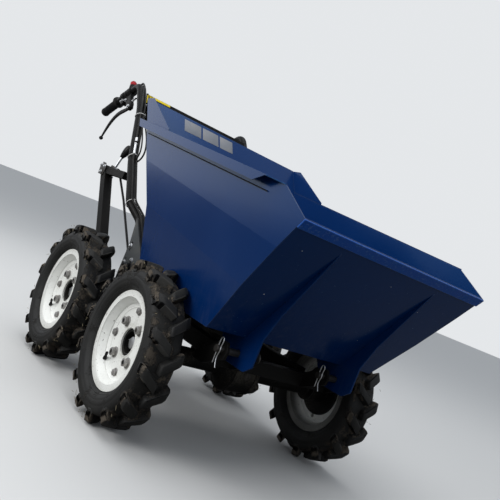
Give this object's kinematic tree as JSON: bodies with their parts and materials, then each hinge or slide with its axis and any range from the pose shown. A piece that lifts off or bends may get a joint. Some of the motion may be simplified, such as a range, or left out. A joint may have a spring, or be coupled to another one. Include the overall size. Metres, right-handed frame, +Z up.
{
  "type": "mini dumper",
  "caption": "Walk-behind four-wheel mini dumper with a forward tipping sheet steel skip, lugged tyres, small petrol engine and handlebars.",
  "frame": {"origin": "on the ground, in the middle of the machine's length and width", "axes": "+X forward over the skip's lip, +Y to the operator's left, +Z up"},
  "size_m": [1.8099, 0.88, 1.0976],
  "materials": {
    "skip_blue": "glossy deep blue paint",
    "tyre_rubber": "black rubber with dried mud",
    "rim_white": "off-white paint",
    "hub_black": "satin black paint",
    "frame_black": "satin black powder coat",
    "bracket_grey": "satin dark grey paint",
    "bare_steel": "zinc plated",
    "grip_rubber": "matte",
    "black_plastic": "matte",
    "engine_alloy": "grey casting",
    "engine_paint": "gloss black paint",
    "muffler_steel": "dull heat-marked steel"
  },
  "bodies": {
    "chassis": {"air_cleaner": "black_plastic", "bar_brackets": "bracket_grey", "belt_cover": "frame_black", "chassis_frame": "frame_black", "console_plate": "frame_black", "control_cables": "black_plastic", "control_levers": "black_plastic", "engine_block": "engine_alloy", "engine_cylinder": "engine_alloy", "front_axle": "frame_black", "fuel_tank": "engine_paint", "gear_lever": "black_plastic", "gear_post": "frame_black", "gearbox": "frame_black", "handlebar_grips": "grip_rubber", "handlebar_left": "frame_black", "handlebar_right": "frame_black", "kill_switch": "black_plastic", "muffler": "muffler_steel", "pivot_pins": "bare_steel", "post_bar": "frame_black", "propshaft": "bare_steel", "rear_axle": "frame_black", "recoil_starter": "engine_paint", "rest_pads": "grip_rubber", "shift_rod": "bare_steel"},
    "skip": {"skip_fins": "skip_blue", "skip_lip_bar": "skip_blue", "skip_pan": "skip_blue", "skip_rear_wall": "skip_blue", "skip_side_left": "skip_blue", "skip_side_right": "skip_blue"},
    "wheel_front_left": {"tyre_front_left": "tyre_rubber", "rim_front_left": "rim_white", "hub_front_left": "hub_black"},
    "wheel_front_right": {"tyre_front_right": "tyre_rubber", "rim_front_right": "rim_white", "hub_front_right": "hub_black"},
    "wheel_rear_left": {"tyre_rear_left": "tyre_rubber", "rim_rear_left": "rim_white", "hub_rear_left": "hub_black"},
    "wheel_rear_right": {"tyre_rear_right": "tyre_rubber", "rim_rear_right": "rim_white", "hub_rear_right": "hub_black"}
  },
  "joints": [
    {"name": "skip_tip", "type": "hinge", "parent": "chassis", "child": "skip", "pos_m": [0.62, 0, 0.325], "axis": [0, 1, 0], "range_deg": [0, 80]},
    {"name": "wheel_front_left_spin", "type": "hinge", "parent": "chassis", "child": "wheel_front_left", "pos_m": [0.38, 0.386, 0.232], "axis": [0, 1, 0], "continuous": true},
    {"name": "wheel_front_right_spin", "type": "hinge", "parent": "chassis", "child": "wheel_front_right", "pos_m": [0.38, -0.386, 0.232], "axis": [0, 1, 0], "continuous": true},
    {"name": "wheel_rear_left_spin", "type": "hinge", "parent": "chassis", "child": "wheel_rear_left", "pos_m": [-0.184, 0.386, 0.232], "axis": [0, 1, 0], "continuous": true},
    {"name": "wheel_rear_right_spin", "type": "hinge", "parent": "chassis", "child": "wheel_rear_right", "pos_m": [-0.184, -0.386, 0.232], "axis": [0, 1, 0], "continuous": true}
  ]
}
